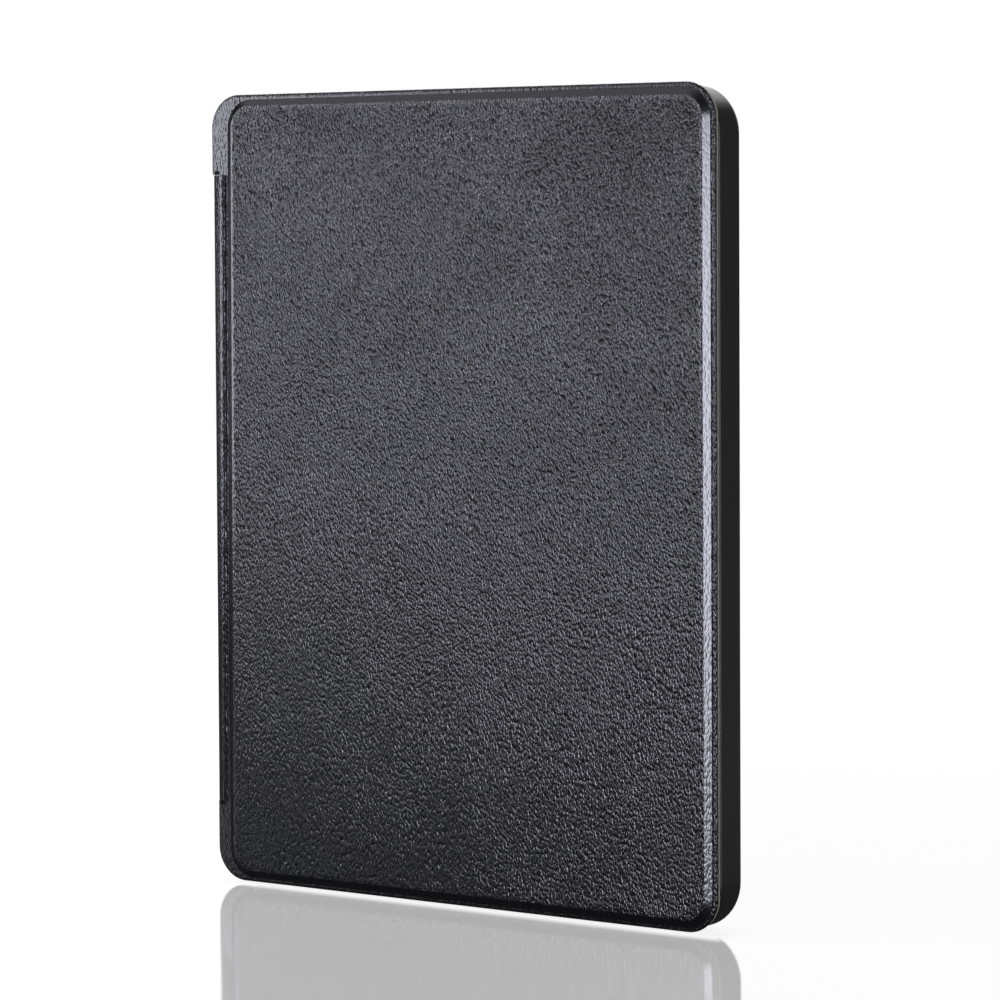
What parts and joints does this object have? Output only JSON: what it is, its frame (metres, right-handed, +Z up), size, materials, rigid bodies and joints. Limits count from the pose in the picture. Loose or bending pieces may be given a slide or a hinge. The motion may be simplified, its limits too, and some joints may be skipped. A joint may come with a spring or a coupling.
{
  "type": "tablet folio case",
  "caption": "Slim folio tablet case: a moulded tray, a leather spine and a padded leather cover that opens like a book.",
  "frame": {"origin": "centre of the base that the closed case stands on, below the middle of its width and thickness", "axes": "+X from the spine to the free edge, +Y from the front cover to the back, +Z up along the long side"},
  "size_m": [0.1896, 0.0164, 0.246],
  "materials": {
    "pebbled_leather": "pebbled polyurethane leather, low sheen",
    "tray_plastic": "moulded polycarbonate, satin",
    "microfibre": "brushed microfibre",
    "stiffener": "polypropylene board",
    "sponge": "thin sponge sheet",
    "adhesive_sheet": "double-sided adhesive sheet",
    "magnet_nickel": "nickel-plated magnet"
  },
  "bodies": {
    "shell": {"back_shell": "tray_plastic", "tray_liner": "microfibre", "back_adhesive": "adhesive_sheet", "back_skin": "pebbled_leather", "back_hinge": "pebbled_leather"},
    "spine": {"spine_skin": "pebbled_leather", "spine_board": "stiffener", "spine_lining": "microfibre", "front_hinge": "pebbled_leather"},
    "front_cover": {"front_skin": "pebbled_leather", "front_foam": "sponge", "front_board": "stiffener", "closing_magnets": "magnet_nickel", "sleep_magnet": "magnet_nickel", "front_lining": "microfibre"}
  },
  "joints": [
    {"name": "spine_hinge", "type": "hinge", "parent": "shell", "child": "spine", "pos_m": [-0.09332, 0.00697, 0], "axis": [0, 0, -1], "range_deg": [0, 180], "deforming": ["back_hinge"]},
    {"name": "cover_hinge", "type": "hinge", "parent": "spine", "child": "front_cover", "pos_m": [-0.0933, -0.0062, 0], "axis": [0, 0, -1], "range_deg": [0, 180], "deforming": ["front_hinge"]}
  ]
}
